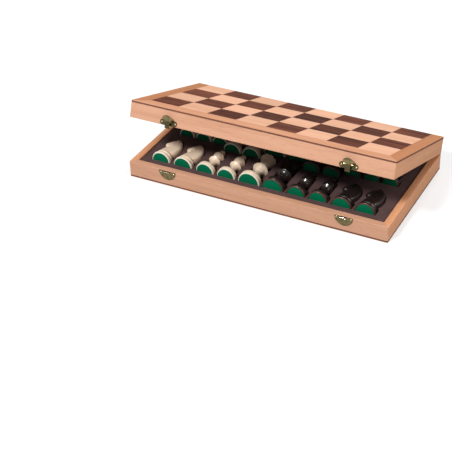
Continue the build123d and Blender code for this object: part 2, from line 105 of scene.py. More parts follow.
class Graph:
    """Small wrapper that adds and joins the shader nodes of one material."""

    def __init__(self, name: str) -> None:
        """Starts an empty material.

        Args:
            name: Name of the material.
        """
        self.material = bpy.data.materials.new(name)
        self.material.use_nodes = True
        self.tree = self.material.node_tree
        self.tree.nodes.clear()

    def node(self, kind: str, **settings: object) -> bpy.types.Node:
        """Adds a node and sets its properties.

        Args:
            kind: Blender's node type.
            **settings: Properties of the node.

        Returns:
            The new node.
        """
        made = self.tree.nodes.new(kind)
        for key, value in settings.items():
            setattr(made, key, value)
        return made

    def join(self, source: bpy.types.NodeSocket, target: bpy.types.NodeSocket) -> None:
        """Links two sockets."""
        self.tree.links.new(source, target)

    def feed(self, socket: bpy.types.NodeSocket, value: object) -> None:
        """Links a socket, or sets a plain number or vector on it."""
        if isinstance(value, bpy.types.NodeSocket):
            self.join(value, socket)
        elif value is not None:
            socket.default_value = value

    def math(self, operation: str, *values: object) -> bpy.types.NodeSocket:
        """Adds a Math node on sockets or numbers and returns its result."""
        made = self.node("ShaderNodeMath", operation=operation)
        for socket, value in zip(made.inputs, values):
            self.feed(socket, value)
        return made.outputs[0]

    def place(self, vector: object, scale: Sequence[float] = (1, 1, 1),
              location: Sequence[float] = (0, 0, 0), rotation: Sequence[float] = (0, 0, 0)
              ) -> bpy.types.NodeSocket:
        """Moves, turns or stretches a pattern.

        Args:
            vector: Socket with the coordinates.
            scale: Stretch along each axis.
            location: Shift of the pattern.
            rotation: Turn of the pattern in radians.

        Returns:
            The mapped coordinates.
        """
        made = self.node("ShaderNodeMapping")
        self.feed(made.inputs["Vector"], vector)
        made.inputs["Scale"].default_value = scale
        made.inputs["Location"].default_value = location
        made.inputs["Rotation"].default_value = rotation
        return made.outputs[0]

    def object_coords(self) -> bpy.types.NodeSocket:
        """Object coordinates of the piece, in metres."""
        return self.node("ShaderNodeTexCoord").outputs["Object"]

    def noise(self, vector: object, scale: float, detail: float = 4.0, roughness: float = 0.55,
              distortion: float = 0.0) -> bpy.types.NodeSocket:
        """Adds a noise texture and returns its grey value."""
        made = self.node("ShaderNodeTexNoise")
        self.feed(made.inputs["Vector"], vector)
        made.inputs["Scale"].default_value = scale
        made.inputs["Detail"].default_value = detail
        made.inputs["Roughness"].default_value = roughness
        made.inputs["Distortion"].default_value = distortion
        return made.outputs[0]

    def ramp(self, value: bpy.types.NodeSocket, low: float, high: float) -> bpy.types.NodeSocket:
        """Spreads low..high smoothly to 0..1."""
        made = self.node("ShaderNodeMapRange", interpolation_type="SMOOTHSTEP")
        self.feed(made.inputs["Value"], value)
        made.inputs["From Min"].default_value = low
        made.inputs["From Max"].default_value = high
        return made.outputs[0]

    def mix(self, share: object, first: object, second: object, blend: str = "MIX"
            ) -> bpy.types.NodeSocket:
        """Mixes two colours.

        Args:
            share: Part of the second colour, a number or a socket.
            first: Colour or socket.
            second: Colour or socket.
            blend: Blender's blend type.

        Returns:
            The mixed colour.
        """
        made = self.node("ShaderNodeMix", data_type="RGBA", blend_type=blend)
        self.feed(made.inputs["Factor"], share)
        for key, value in (("A", first), ("B", second)):
            socket = next(s for s in made.inputs if s.name == key and s.type == "RGBA")
            self.feed(socket, (*value, 1.0) if isinstance(value, tuple) else value)
        return next(s for s in made.outputs if s.type == "RGBA")

    def bump(self, height: bpy.types.NodeSocket, distance: float, strength: float = 1.0
             ) -> bpy.types.NodeSocket:
        """Adds a bump of the given depth in metres and returns its normal."""
        made = self.node("ShaderNodeBump")
        made.inputs["Distance"].default_value = distance
        made.inputs["Strength"].default_value = strength
        self.join(height, made.inputs["Height"])
        return made.outputs[0]

    def surface(self, **values: object) -> bpy.types.Material:
        """Adds the surface shader and closes the graph.

        Args:
            **values: Inputs of the Principled shader, with _ for a space.

        Returns:
            The finished material.
        """
        shader = self.node("ShaderNodeBsdfPrincipled")
        for key, value in values.items():
            socket = shader.inputs[key.replace("_", " ")]
            is_colour = isinstance(value, tuple) and len(value) == 3
            self.feed(socket, (*value, 1.0) if is_colour else value)
        out = self.node("ShaderNodeOutputMaterial")
        self.join(shader.outputs[0], out.inputs["Surface"])
        return self.material


# Finishes


@dataclass(frozen=True)
class Wood:
    """Lacquered wood with long fibres.

    Attributes:
        name: Name of the finish.
        pale: Colour between the streaks.
        deep: Colour of the streaks.
        pore: Colour of the fine pores.
        streaks: Streaks per metre across the fibres.
        contrast: How much of the streak colour shows.
        pores: How much of the pore colour shows.
        tone: Change of tone from square to square.
        roughness: Roughness of the lacquer.
        gloss: Specular level of the lacquer.
    """

    name: str
    pale: Rgb
    deep: Rgb
    pore: Rgb
    streaks: float = 90.0
    contrast: float = 0.6
    pores: float = 0.25
    tone: float = 0.0
    roughness: float = 0.5
    gloss: float = 0.25

    def material(self, grain: Grain, half: Half, square: float = 0.0) -> bpy.types.Material:
        """Builds the material for one direction of the fibres.

        Args:
            grain: Direction of the fibres.
            half: Half of the box, to follow the lid's tilt.
            square: Side of the veneer squares in metres, or 0 for one long board.

        Returns:
            The material.
        """
        g = Graph(f"{self.name}_{grain.name.lower()}_{half.value}")
        where = g.object_coords()
        if half is Half.LID:
            location, rotation = Tilt().undo()
            where = g.place(where, location=location, rotation=rotation)
        tone: object = 0.5
        if square:
            where, tone = self._squares(g, where, square)
        fibres = self._fibres(g, where, grain)
        figure = g.noise(fibres, self.streaks, 5.0, 0.62, 0.35)
        figure = g.ramp(figure, 0.38, 0.66)
        colour = g.mix(g.math("MULTIPLY", figure, self.contrast), self.pale, self.deep)
        pores = g.ramp(g.noise(fibres, self.streaks * 14.0, 2.0, 0.5), 0.56, 0.72)
        colour = g.mix(g.math("MULTIPLY", pores, self.pores), colour, self.pore)
        if square:
            shade = g.math("MULTIPLY_ADD", tone, 2.0 * self.tone, 1.0 - self.tone)
            grey = g.node("ShaderNodeCombineColor")
            for socket in grey.inputs[:3]:
                g.join(shade, socket)
            colour = g.mix(1.0, colour, grey.outputs[0], "MULTIPLY")
        if grain is Grain.MITRED:
            colour = g.mix(self._mitre(g, where), g.mix(1.0, colour, SIDE_TINT, "MULTIPLY"), colour)
        normal = g.bump(pores, 0.00004, 0.35)
        return g.surface(Base_Color=colour, Roughness=self.roughness, Normal=normal,
                         Specular_IOR_Level=self.gloss)

    def _fibres(self, g: Graph, where: bpy.types.NodeSocket, grain: Grain) -> bpy.types.NodeSocket:
        """Coordinates drawn out along the fibres.

        Args:
            g: Graph of the material.
            where: Coordinates on the shut box.
            grain: Direction of the fibres.

        Returns:
            The stretched coordinates.
        """
        along = g.place(where, scale=(FIBRE_STRETCH, 1.0, 1.0))
        across = g.place(where, scale=(1.0, FIBRE_STRETCH, 1.0), location=ACROSS_SHIFT)
        if grain is Grain.MITRED:
            choice = g.node("ShaderNodeMix", data_type="VECTOR")
            g.join(self._mitre(g, where), choice.inputs["Factor"])
            for socket, value in zip((s for s in choice.inputs if s.type == "VECTOR" and
                                      s.name in "AB"), (across, along)):
                g.join(value, socket)
            return next(s for s in choice.outputs if s.type == "VECTOR")
        return along if grain is Grain.ALONG_BOX else across

    @staticmethod
    def _mitre(g: Graph, where: bpy.types.NodeSocket) -> bpy.types.NodeSocket:
        """1 on the front border strip and 0 on the side strips, split along the mitres."""
        parts = g.node("ShaderNodeSeparateXYZ")
        g.join(where, parts.inputs[0])
        front = g.math("DIVIDE", g.math("ADD", parts.outputs["Y"], HALF_WIDTH), FRONT_BORDER)
        reach = g.math("SUBTRACT", HALF_LENGTH, g.math("ABSOLUTE", parts.outputs["X"]))
        return g.math("LESS_THAN", front, g.math("DIVIDE", reach, SIDE_BORDER))

    @staticmethod
    def _squares(g: Graph, where: bpy.types.NodeSocket, square: float
                 ) -> tuple[bpy.types.NodeSocket, bpy.types.NodeSocket]:
        """Gives each veneer square its own cut of the wood and its own tone.

        Args:
            g: Graph of the material.
            where: Coordinates on the shut box.
            square: Side of a square in metres.

        Returns:
            The shifted coordinates and a number from 0 to 1 for the tone.
        """
        cell = g.node("ShaderNodeVectorMath", operation="SNAP")
        corner = g.place(where, location=(4 * square, HALF_WIDTH - FRONT_BORDER, 0.0))
        flat = g.place(corner, scale=(1.0, 1.0, 0.0))
        g.join(flat, cell.inputs[0])
        cell.inputs[1].default_value = (square, square, 1.0)
        chance = g.node("ShaderNodeTexWhiteNoise", noise_dimensions="3D")
        g.join(cell.outputs[0], chance.inputs["Vector"])
        jump = g.node("ShaderNodeVectorMath", operation="MULTIPLY_ADD")
        g.join(chance.outputs["Color"], jump.inputs[0])
        jump.inputs[1].default_value = (SQUARE_JUMP,) * 3
        g.join(where, jump.inputs[2])
        return jump.outputs[0], chance.outputs["Value"]


@dataclass(frozen=True)
class Fibreboard:
    """Brown pressed board, seen as a thin dark line round each half."""

    colour: Rgb = (0.19, 0.068, 0.038)
    speck: Rgb = (0.10, 0.035, 0.020)

    def material(self) -> bpy.types.Material:
        """Builds the material."""
        g = Graph("fibreboard")
        specks = g.ramp(g.noise(g.object_coords(), 1400.0, 3.0), 0.45, 0.62)
        return g.surface(Base_Color=g.mix(specks, self.colour, self.speck), Roughness=0.75)


@dataclass(frozen=True)
class Flock:
    """Short velvety pile on the insert, the lid lining and the felts."""

    name: str
    colour: Rgb
    lift: Rgb
    pile: float = 2600.0
    sheen: float = 0.1

    def material(self) -> bpy.types.Material:
        """Builds the material."""
        g = Graph(self.name)
        where = g.object_coords()
        pile = g.noise(where, self.pile, 3.0, 0.6)
        clouds = g.ramp(g.noise(where, 45.0, 3.0), 0.35, 0.7)
        colour = g.mix(g.math("MULTIPLY", g.ramp(pile, 0.4, 0.7), 0.5), self.colour, self.lift)
        colour = g.mix(g.math("MULTIPLY", clouds, 0.3), colour, self.lift)
        return g.surface(Base_Color=colour, Roughness=0.95, Normal=g.bump(pile, 0.0002, 0.6),
                         Specular_IOR_Level=0.08, Sheen_Weight=self.sheen, Sheen_Roughness=0.5)


@dataclass(frozen=True)
class Brass:
    """Plated sheet brass with handling traces; its colour is darkened as painted shade for the dark
    room it reflects.

    Attributes:
        name: Name of the finish.
        colour: Colour of the metal, kept darker than real brass as painted shade for the dark room
            it reflects.
        wear_and_painted_dark: Colour of the darker patches, partly handling wear and partly painted
            dark reflection.
        tab_highlight_reach: Distance in front of the box beyond which the metal is painted bright
            as a highlight on the catch tab, or 0.
    """

    name: str = "brass"
    # Darker than real brass: painted shade for the dark surroundings the metal reflects.
    colour: Rgb = (0.36, 0.29, 0.145)
    # Painted dark reflection, in part handling wear.
    wear_and_painted_dark: Rgb = (0.11, 0.085, 0.040)
    tab_highlight_reach: float = 0.0

    def material(self) -> bpy.types.Material:
        """Builds the material."""
        g = Graph(self.name)
        where = g.object_coords()
        # Noise patches: rougher handling traces, and darker colour as painted dark reflection.
        handling_and_shade_patches = g.ramp(g.noise(where, 320.0, 4.0), 0.42, 0.75)
        gloss = g.node("ShaderNodeMapRange")
        g.join(handling_and_shade_patches, gloss.inputs["Value"])
        gloss.inputs["To Min"].default_value = 0.18
        gloss.inputs["To Max"].default_value = 0.38
        # Darker patches: painted dark reflection mixed with handling wear.
        colour = g.mix(g.math("MULTIPLY", handling_and_shade_patches, 0.8), self.colour, self.wear_and_painted_dark)
        # Catch tab painted bright: a painted highlight where it faces up into the light.
        if self.tab_highlight_reach:
            parts = g.node("ShaderNodeSeparateXYZ")
            g.join(where, parts.inputs[0])
            edge = -HALF_WIDTH - self.tab_highlight_reach
            off_tab_highlight = g.ramp(parts.outputs["Y"], edge, edge + 0.4 * self.tab_highlight_reach)
            colour = g.mix(off_tab_highlight, PAINTED_TAB_HIGHLIGHT, colour)
        return g.surface(Base_Color=colour, Metallic=1.0, Roughness=gloss.outputs[0])


@dataclass(frozen=True)
class Lacquer:
    """Gloss lacquer on turned wood, with the fibres running up the chessman.

    Attributes:
        name: Name of the finish.
        pale: Colour between the fibres.
        deep: Colour of the fibres.
        contrast: How much the fibres show.
        coat: Weight of the clear coat.
    """

    name: str
    pale: Rgb
    deep: Rgb
    contrast: float = 0.5
    coat: float = 0.8

    def material(self) -> bpy.types.Material:
        """Builds the material."""
        g = Graph(self.name)
        fibres = g.place(g.object_coords(), scale=(1.0, 0.08, 1.0))
        figure = g.ramp(g.noise(fibres, 420.0, 4.0, 0.6, 0.2), 0.4, 0.68)
        colour = g.mix(g.math("MULTIPLY", figure, self.contrast), self.pale, self.deep)
        return g.surface(Base_Color=colour, Roughness=0.38, Coat_Weight=self.coat,
                         Coat_Roughness=0.08)


class Colour(Enum):
    """The two sides of a chess set."""

    WHITE = "white"
    DARK = "dark"


SIDE_TINT = (0.78, 0.68, 0.55)
BEECH = Wood(
    "beech", pale=(0.68, 0.365, 0.235), deep=(0.56, 0.28, 0.165), pore=(0.36, 0.16, 0.09),
    streaks=80.0, contrast=0.7, pores=0.35,
)
SIDE_BEECH = Wood(
    "side_beech", pale=(0.80, 0.385, 0.20), deep=(0.66, 0.29, 0.135), pore=(0.44, 0.17, 0.075),
    streaks=70.0, contrast=0.7, pores=0.3,
)
LIGHT_VENEER = Wood(
    "light_veneer", pale=(0.80, 0.455, 0.30), deep=(0.70, 0.36, 0.215), pore=(0.50, 0.24, 0.13),
    streaks=60.0, contrast=0.65, pores=0.25, tone=0.07, roughness=0.55, gloss=0.08,
)
BORDER_VENEER = Wood(
    "border_veneer", pale=(0.69, 0.345, 0.205), deep=(0.58, 0.265, 0.145),
    pore=(0.38, 0.165, 0.085), streaks=70.0, contrast=0.7, pores=0.25, roughness=0.55, gloss=0.08,
)
WALNUT = Wood(
    "walnut", pale=(0.165, 0.050, 0.027), deep=(0.07, 0.020, 0.012), pore=(0.022, 0.008, 0.005),
    streaks=150.0, contrast=1.0, pores=0.75, tone=0.36, roughness=0.5, gloss=0.05,
)
INSERT_FLOCK = Flock("insert_flock", (0.080, 0.044, 0.042), (0.145, 0.085, 0.080))
# Bright brass of the catch tab: painted highlight.
PAINTED_TAB_HIGHLIGHT = (0.95, 0.84, 0.58)
LINING_FLOCK = Flock("lining_flock", (0.066, 0.029, 0.029), (0.12, 0.055, 0.052))
FELT = Flock("green_felt", (0.0, 0.125, 0.055), (0.001, 0.185, 0.09), pile=1800.0, sheen=0.0)
LACQUERS = {
    Colour.WHITE: Lacquer("pale_lacquer", (0.95, 0.76, 0.57), (0.88, 0.63, 0.42), 0.5, 0.35),
    Colour.DARK: Lacquer("dark_lacquer", (0.020, 0.012, 0.010), (0.008, 0.005, 0.004), 0.6, 0.9),
}
FOOT_EDGES = {
    Colour.WHITE: Lacquer("pale_edge", (0.86, 0.78, 0.64), (0.80, 0.68, 0.52), 0.3, 0.2),
    Colour.DARK: Lacquer("dark_edge", (0.10, 0.030, 0.022), (0.05, 0.016, 0.012), 0.5, 0.4),
}


def dress(node: str, material: bpy.types.Material) -> None:
    """Gives a CAD node one material.

    Args:
        node: Name of the node.
        material: Its new material.
    """
    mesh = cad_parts[node].data
    mesh.materials.clear()
    mesh.materials.append(material)
    log.info("dressed %s with %s", node, material.name)


def smooth(mesh: bpy.types.Mesh, degrees: float = 35.0) -> None:
    """Shades a mesh smooth, keeping edges sharper than an angle crisp."""
    mesh.shade_smooth()
    mesh.set_sharp_from_angle(angle=math.radians(degrees))


def add_piece(name: str, bm: bmesh.types.BMesh, materials: Iterable[bpy.types.Material],
              body: str, slot: str, *replaced: str) -> bpy.types.Object:
    """Makes a finished piece from a bmesh.

    Args:
        name: Name of the piece.
        bm: Its shape in the frame, freed here.
        materials: Materials by index.
        body: Body that it rides on.
        slot: Material slot of the record; not used.
        *replaced: CAD nodes that it stands for.

    Returns:
        The new object.
    """
    mesh = bpy.data.meshes.new(name)
    bm.to_mesh(mesh)
    bm.free()
    for material in materials:
        mesh.materials.append(material)
    smooth(mesh)
    piece = bpy.data.objects.new(name, mesh)
    bpy.context.scene.collection.objects.link(piece)
    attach(piece, body)
    if replaced:
        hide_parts(*replaced)
    log.info("built %s, %d faces", name, len(mesh.polygons))
    return piece


# Sub-assemblies


@dataclass
class WoodenHalf:
    """One tray of the box: rails, board and veneers."""

    half: Half
    parts: tuple[str, ...] = ("front", "back", "left", "right")

    def build(self) -> None:
        """Dresses all the wood of this half."""
        side = self.half.value
        long_rail = BEECH.material(Grain.ALONG_BOX, self.half)
        short_rail = SIDE_BEECH.material(Grain.ACROSS_BOX, self.half)
        for part in self.parts:
            dress(f"{side}_rail_{part}", long_rail if part in ("front", "back") else short_rail)
        dress(f"{side}_panel", Fibreboard().material())
        dress(f"{side}_squares_light", LIGHT_VENEER.material(Grain.ALONG_BOX, self.half, SQUARE))
        dress(f"{side}_squares_dark", WALNUT.material(Grain.ALONG_BOX, self.half, SQUARE))
        dress(f"{side}_border", BORDER_VENEER.material(Grain.MITRED, self.half))


@dataclass
class Hardware:
    """Hinges, latches, catches and their nails and screws."""

    nodes: tuple[str, ...] = (
        "catch_plates", "catch_nails", "hinge_leaves_base", "hinge_screws_base", "latch_plates",
        "latch_nails", "hinge_leaves_lid", "hinge_screws_lid", "latch_lever_left",
        "latch_lever_right",
    )

    def build(self) -> None:
        """Dresses the brass."""
        brass = Brass().material()
        # Nails in brighter brass than the plates: painted highlight for their glints.
        bright = Brass("polished_brass", (0.88, 0.74, 0.44), (0.62, 0.48, 0.24)).material()
        # Catch plates, with the tab painted bright as a highlight.
        catch = Brass("catch_brass", tab_highlight_reach=2.4 * MM).material()
        for node in self.nodes:
            dress(node, bright if "nails" in node else catch if "catch" in node else brass)


@dataclass
class Linings:
    """Pocketed insert in the base and the lining of the lid."""

    def build(self) -> None:
        """Dresses the flocked pieces."""
        dress("insert_tray", INSERT_FLOCK.material())
        dress("lid_lining", LINING_FLOCK.material())


# Chessmen


def bowed(start: Vector, end: Sequence[float], bow: float) -> list[Vector]:
    """Follows a curve between two points of a profile.

    Args:
        start: Point with the radius in x and the height in z.
        end: Radius and height of the far end.
        bow: Rise of the curve over its chord, to the right of the way it runs, or 0.

    Returns:
        The points after the start.
    """
    if not bow:
        return [Vector((end[0], 0.0, end[1]))]
    run = Vector((end[0] - start.x, end[1] - start.z))
    turn = math.copysign(4.0 * math.atan(2.0 * abs(bow) / run.length), bow)
    radius = run.length / (2.0 * math.sin(abs(turn) / 2.0))
    count = max(3, math.ceil(abs(math.degrees(turn)) / 11.0))
    points = []
    for i in range(1, count + 1):
        length = 2.0 * radius * math.sin(abs(turn) * i / count / 2.0)
        step = Matrix.Rotation(-turn * (1.0 - i / count) / 2.0, 2) @ run.normalized() * length
        points.append(start + Vector((step.x, 0.0, step.y)))
    return points


def follow(stations: Iterable[Station]) -> list[Vector]:
    """Points along a profile given as stations of radius, height and bow."""
    points: list[Vector] = []
    for station in stations:
        if points:
            points += bowed(points[-1], station[:2], station[2] if len(station) > 2 else 0.0)
        else:
            points.append(Vector((station[0], 0.0, station[1])))
    return points


def foot(radius: float) -> tuple[Station, ...]:
    """Stations of the round foot, up to the small ring above its swell."""
    k = radius / 16.5
    return (
        (0.0, 0.8), (radius - 1.2, 0.8), (radius, 2.0, 0.35), (radius, 0.8 + 2.9 * k),
        (radius - 0.3, 0.8 + 3.15 * k), (radius, 0.8 + 3.4 * k), (radius - 0.6, 0.8 + 3.9 * k),
        (0.62 * radius, 0.8 + 12.4 * k, 3.0 * k), (0.66 * radius, 0.8 + 12.9 * k),
        (0.66 * radius, 0.8 + 13.5 * k, 0.2), (0.60 * radius, 0.8 + 14.4 * k, 0.1),
    )


@dataclass
class Chessman:
    """One kind of turned chessman in millimetres, standing on its felt.

    Attributes:
        radius: Radius of the foot.
        upper: Stations above the foot, up to the tip.
        steps: Steps of the lathe round the axis.
        felt: Thickness of the felt.
        inset: How far the felt stays inside the foot.
    """

    radius: float
    upper: tuple[Station, ...]
    steps: int = 48
    felt: float = 0.78
    inset: float = 1.8

    def stations(self) -> tuple[Station, ...]:
        """Whole profile, from the middle of the underside to the tip."""
        return (*foot(self.radius), *self.upper)

    def carve(self, bm: bmesh.types.BMesh) -> None:
        """Adds what the lathe can't make; plain men have nothing."""

    def shape(self) -> bmesh.types.BMesh:
        """Turns the profile round the axis and carves the rest.

        Returns:
            The man in millimetres, standing; the edge of its foot has the second material.
        """
        bm = bmesh.new()
        verts = [bm.verts.new(point) for point in follow(self.stations())]
        edges = [bm.edges.new(pair) for pair in zip(verts, verts[1:])]
        bmesh.ops.spin(bm, geom=verts + edges, cent=(0, 0, 0), axis=(0, 0, 1), dvec=(0, 0, 0),
                       angle=math.tau, steps=self.steps, use_merge=True, use_duplicate=False)
        bmesh.ops.remove_doubles(bm, verts=bm.verts, dist=0.001)
        bmesh.ops.recalc_face_normals(bm, faces=bm.faces)
        for face in bm.faces:
            face.material_index = int(face.calc_center_median().z < 2.0)
        self.carve(bm)
        return bm

    def felt_disc(self) -> bmesh.types.BMesh:
        """Felt under the foot, with its cut edge a little soft."""
        bm = bmesh.new()
        radius = self.radius - self.inset
        bmesh.ops.create_cone(bm, cap_ends=True, segments=self.steps, radius1=radius,
                              radius2=radius, depth=self.felt)
        rims = [edge for edge in bm.edges if abs(edge.verts[0].co.z - edge.verts[1].co.z) < 0.01]
        bmesh.ops.bevel(bm, geom=rims, offset=0.2, segments=2, profile=0.5, affect="EDGES",
                        material=-1)
        bmesh.ops.translate(bm, verts=bm.verts, vec=(0, 0, self.felt / 2))
        return bm

    def lay(self, bm: bmesh.types.BMesh, node: str) -> bmesh.types.BMesh:
        """Lays a standing shape down where its solid lies, and brings it to metres."""
        low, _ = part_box(node)
        reach = self.radius * MM
        place = Matrix.Translation((low.x + reach, low.y, low.z + reach))
        lying = place @ Matrix.Rotation(math.radians(-90.0), 4, "X") @ Matrix.Scale(MM, 4)
        bmesh.ops.transform(bm, matrix=lying, verts=bm.verts)
        return bm


@dataclass
class King(Chessman):
    """King with a flared cross."""

    half_cross: tuple[tuple[float, float], ...] = (
        (2.6, 71.4), (2.0, 76.4), (5.8, 75.0), (5.8, 80.6), (2.2, 79.4), (3.0, 84.0),
    )
    thickness: float = 4.8

    def carve(self, bm: bmesh.types.BMesh) -> None:
        """Adds the cross with softened edges."""
        right = [(x, z) for x, z in self.half_cross]
        left = [(-x, z) for x, z in reversed(self.half_cross)]
        verts = [bm.verts.new((x, -self.thickness / 2, z)) for x, z in right + left]
        front = bm.faces.new(verts)
        grown = bmesh.ops.extrude_face_region(bm, geom=[front], use_keep_orig=True)["geom"]
        back = [item for item in grown if isinstance(item, bmesh.types.BMVert)]
        bmesh.ops.translate(bm, verts=back, vec=(0, self.thickness, 0))
        cross = {*verts, *back}
        edges = [edge for edge in bm.edges if edge.verts[0] in cross]
        bmesh.ops.recalc_face_normals(bm, faces=[f for f in bm.faces if f.verts[0] in cross])
        bmesh.ops.bevel(bm, geom=edges, offset=0.5, segments=3, profile=0.5, affect="EDGES",
                        material=-1)


@dataclass
class Queen(Chessman):
    """Queen with a scalloped coronet."""

    steps: int = 72
    scallops: int = 9
    depth: float = 1.5

    def carve(self, bm: bmesh.types.BMesh) -> None:
        """Sinks the scallops into the rim of the coronet."""
        for vert in bm.verts:
            radius = math.hypot(vert.co.x, vert.co.y)
            if radius > 9.4 and vert.co.z > 64.0:
                wave = math.cos(self.scallops * math.atan2(vert.co.y, vert.co.x))
                vert.co.z -= self.depth * max(0.0, wave) ** 1.5


@dataclass
class Bishop(Chessman):
    """Bishop with a slit mitre."""

    slit: Vector = field(default_factory=lambda: Vector((6.2, 0.0, 46.6)))
    tilt: float = 35.0
    width: float = 1.2
    depth: float = 3.4

    def carve(self, bm: bmesh.types.BMesh) -> None:
        """Cuts the slit as a groove across one side of the mitre."""
        slope = math.radians(self.tilt)
        across = Vector((math.cos(slope), 0.0, math.sin(slope)))
        inward = Vector((math.sin(slope), 0.0, -math.cos(slope)))
        for side in (-1, 1):
            bmesh.ops.bisect_plane(bm, geom=[*bm.verts, *bm.edges, *bm.faces], dist=0.0001,
                                   plane_co=self.slit + across * side * self.width / 2,
                                   plane_no=across)
        strip = [face for face in bm.faces if face.calc_center_median().x > 2.0
                 and 40.0 < face.calc_center_median().z < 54.0
                 and abs((face.calc_center_median() - self.slit).dot(across)) < self.width * 0.45]
        grown = bmesh.ops.extrude_face_region(bm, geom=strip)["geom"]
        floor = [item for item in grown if isinstance(item, bmesh.types.BMVert)]
        bmesh.ops.translate(bm, verts=floor, vec=inward * self.depth)


@dataclass
class Knight(Chessman):
    """Knight: a carved horse's head, its muzzle towards -x, on a turned foot.

    Attributes:
        outline: Stations round the head as seen from the side, up the mane and down the face.
        mane: How many outline points belong to the mane.
        voxel: Fineness of the carving.
        edge: How far the side rounds over from the outline.
        block: Half thickness of the board before it is carved.
    """

    outline: tuple[Station, ...] = (
        (9.4, 11.0), (9.8, 12.6), (12.0, 43.0, 3.9), (-0.8, 58.5, 2.0), (-4.2, 53.6, 0.8),
        (-12.0, 44.8, 1.1), (-12.2, 36.6, 1.9), (-7.0, 36.8, 1.5), (-7.4, 28.6, -2.0),
        (-9.4, 12.6, 2.2), (-9.0, 11.0),
    )
    mane: int = 14
    voxel: float = 0.65
    edge: float = 7.0
    block: float = 8.0

    def stations(self) -> tuple[Station, ...]:
        """Low turned foot with two rings."""
        r = self.radius
        return (
            (0.0, 0.8), (r - 1.2, 0.8), (r, 2.0, 0.35), (r, 4.2), (r - 1.6, 5.4, 0.3),
            (r - 2.4, 7.4, -0.3), (r - 1.6, 8.2), (r - 2.0, 11.8, 0.5), (r - 3.6, 13.4, 0.3),
            (0.0, 13.4),
        )

    def carve(self, bm: bmesh.types.BMesh) -> None:
        """Carves the head from a board cut to the outline."""
        line = follow(self.outline)
        head = self._board(line)
        for vert in head.verts:
            vert.co.y = self._side(vert.co, line)
        for _ in range(3):
            bmesh.ops.smooth_vert(head, verts=head.verts, factor=0.5, use_axis_x=True,
                                  use_axis_y=True, use_axis_z=True)
        mesh = bpy.data.meshes.new("head")
        head.to_mesh(mesh)
        head.free()
        bm.from_mesh(mesh)
        bpy.data.meshes.remove(mesh)

    def _board(self, line: list[Vector]) -> bmesh.types.BMesh:
        """Board of even small faces, cut to the outline."""
        bm = bmesh.new()
        face = bm.faces.new([bm.verts.new(point - Vector((0, self.block, 0))) for point in line])
        grown = bmesh.ops.extrude_face_region(bm, geom=[face], use_keep_orig=True)["geom"]
        far = [item for item in grown if isinstance(item, bmesh.types.BMVert)]
        bmesh.ops.translate(bm, verts=far, vec=(0, 2 * self.block, 0))
        bmesh.ops.recalc_face_normals(bm, faces=bm.faces)
        mesh = bpy.data.meshes.new("board")
        bm.to_mesh(mesh)
        bm.free()
        board = bpy.data.objects.new("board", mesh)
        bpy.context.scene.collection.objects.link(board)
        remesh = board.modifiers.new("fine", "REMESH")
        remesh.mode = "VOXEL"
        remesh.voxel_size = self.voxel
        graph = bpy.context.evaluated_depsgraph_get()
        even = bpy.data.meshes.new_from_object(board.evaluated_get(graph))
        bm = bmesh.new()
        bm.from_mesh(even)
        bpy.data.objects.remove(board)
        bpy.data.meshes.remove(mesh)
        bpy.data.meshes.remove(even)
        return bm

    def _side(self, co: Vector, line: list[Vector]) -> float:
        """Carved place of a point across the head.

        Args:
            co: Point of the board.
            line: Outline of the head.

        Returns:
            Its new distance from the middle plane.
        """
        near, index = 1e9, 0
        for i, (a, b) in enumerate(zip(line, line[1:])):
            along, side = b - a, Vector((co.x, 0.0, co.z)) - a
            share = min(1.0, max(0.0, side.dot(along) / along.length_squared))
            gap = (side - along * share).length
            if gap < near:
                near, index = gap, i
        round_over = math.sqrt(1.0 - (1.0 - min(near / self.edge, 1.0)) ** 2)
        half = self._half_width(co.x, co.z) * (0.42 + 0.58 * round_over)
        share = co.y / self.block
        cut = self._details(co.x, co.z, near, index < self.mane)
        return share * half + math.copysign(cut, share) * min(1.0, abs(share) * 1.2) ** 4

    @staticmethod
    def _half_width(x: float, z: float) -> float:
        """Half thickness of the head: thick at the chest, thin at the muzzle and ears."""
        height = min(1.0, max(0.0, (z - 12.0) / 46.0))
        half = 9.4 - 4.6 * height ** 1.4
        muzzle = min(1.0, max(0.0, (-x - 4.0) / 9.0)) if z > 34.0 else 0.0
        return half * (1.0 - 0.25 * muzzle)

    @staticmethod
    def _details(x: float, z: float, rim: float, mane: bool) -> float:
        """Depth of the carved details on the side of the head, outwards positive."""

        def spot(cx: float, cz: float, size: float) -> float:
            return math.exp(-(((x - cx) ** 2 + (z - cz) ** 2) / size**2))

        def groove(ax: float, az: float, bx: float, bz: float, size: float) -> float:
            a, b, p = Vector((ax, az)), Vector((bx, bz)), Vector((x, z))
            share = min(1.0, max(0.0, (p - a).dot(b - a) / (b - a).length_squared))
            return math.exp(-((p - a - (b - a) * share).length / size) ** 2)

        depth = 0.55 * spot(-3.6, 49.0, 1.5) - 0.5 * spot(-3.4, 49.2, 3.2)
        depth += 0.5 * spot(-1.5, 42.5, 5.0) - 0.6 * spot(-11.2, 41.6, 1.0)
        depth -= 0.55 * groove(-13.6, 38.9, -8.2, 40.4, 0.55)
        depth -= 0.5 * groove(-6.8, 36.4, 1.0, 36.4, 0.8) + 0.45 * groove(1.0, 36.4, 4.0, 46.0, 0.8)
        depth -= 0.35 * groove(-1.2, 57.0, -1.2, 53.0, 0.7)
        if mane and rim < 7.5:
            depth += 0.5 * (1.0 - rim / 7.5) + 0.4 * math.sin(1.55 * z + 0.9 * x)
        return depth


